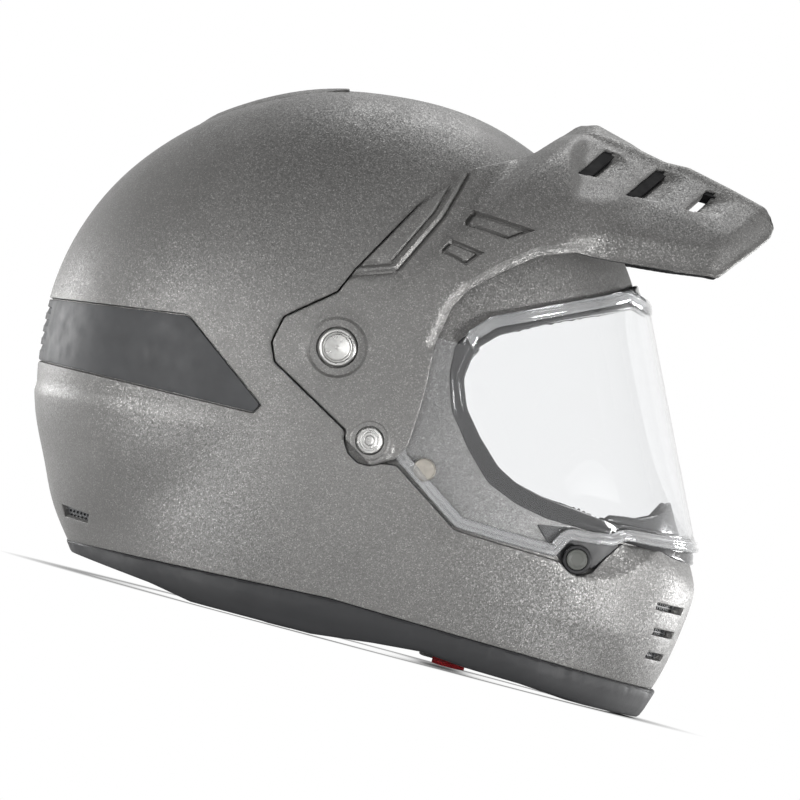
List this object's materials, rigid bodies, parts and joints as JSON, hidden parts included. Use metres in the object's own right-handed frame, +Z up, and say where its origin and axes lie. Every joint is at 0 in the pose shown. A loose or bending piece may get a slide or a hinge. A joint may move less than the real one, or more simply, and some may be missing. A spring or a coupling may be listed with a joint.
{
  "type": "full face helmet",
  "caption": "Full face helmet with a long louvred peak, a clear shield that lifts on side hubs, a dark rear panel, vents, padded liner and a chin strap with two rings.",
  "frame": {"origin": "under the middle of the helmet's box, on the plane it stands on", "axes": "+X the way the wearer looks, +Y the wearer's left, +Z up"},
  "size_m": [0.3557, 0.2494, 0.2884],
  "materials": {
    "paint": "satin",
    "satin_panel": "satin",
    "black_plastic": "matte",
    "rubber": "satin",
    "clear": "gloss",
    "foam": "matte",
    "liner_cloth": "matte",
    "webbing": "matte",
    "red_cloth": "matte",
    "steel": "satin"
  },
  "bodies": {
    "helmet": {"shell": "paint", "rear_panel": "satin_panel", "crown_cover": "paint", "rim_trim": "rubber", "eyeport_gasket": "rubber", "chin_vent_grilles": "black_plastic", "neck_vent_grilles": "black_plastic", "breath_guard": "rubber", "foam_liner": "foam", "chin_foam": "foam", "crown_pad": "liner_cloth", "cheek_pad_right": "liner_cloth", "cheek_pad_left": "liner_cloth", "cheek_foam_right": "foam", "cheek_foam_left": "foam", "neck_roll": "liner_cloth", "shield_base_plates": "black_plastic", "pivot_hubs": "black_plastic", "pivot_nuts": "steel", "lower_nuts": "steel", "snap_studs": "steel", "latch_housings": "black_plastic", "latch_plates": "black_plastic", "strap_hangers": "steel", "strap_rivets": "steel", "peak": "paint", "pivot_screws": "steel", "lower_screws": "steel"},
    "shield": {"shield_lens": "clear", "shield_arm_rings": "black_plastic", "shield_snap_caps": "steel"},
    "button_right": {"latch_button_right": "rubber"},
    "button_left": {"latch_button_left": "rubber"},
    "strap": {"strap_webbing": "webbing", "strap_pad_right": "liner_cloth", "strap_pad_left": "liner_cloth", "strap_pins": "steel", "pull_tab": "red_cloth"},
    "ring_small": {"d_ring_small": "steel"},
    "ring_large": {"d_ring_large": "steel"}
  },
  "joints": [
    {"name": "shield_hinge", "type": "hinge", "parent": "helmet", "child": "shield", "pos_m": [-0.0275, 0, 0.144], "axis": [0, -1, 0], "range_deg": [0, 26]},
    {"name": "latch_press_right", "type": "slide", "parent": "helmet", "child": "button_right", "axis": [0, 1, 0], "range_m": [0, 0.0015], "stiffness_N_per_m": 900},
    {"name": "latch_press_left", "type": "slide", "parent": "helmet", "child": "button_left", "axis": [0, -1, 0], "range_m": [0, 0.0015], "stiffness_N_per_m": 900},
    {"name": "strap_swing", "type": "hinge", "parent": "helmet", "child": "strap", "pos_m": [0.0645, 0, 0.058], "axis": [0, 1, 0], "range_deg": [-12, 12]},
    {"name": "ring_small_swing", "type": "hinge", "parent": "strap", "child": "ring_small", "pos_m": [0.0645, -0.02382, 0.0087], "axis": [1, 0, 0], "range_deg": [0, 60]},
    {"name": "ring_large_swing", "type": "hinge", "parent": "strap", "child": "ring_large", "pos_m": [0.0645, -0.04649, 0.01166], "axis": [1, 0, 0], "range_deg": [0, 60]}
  ]
}
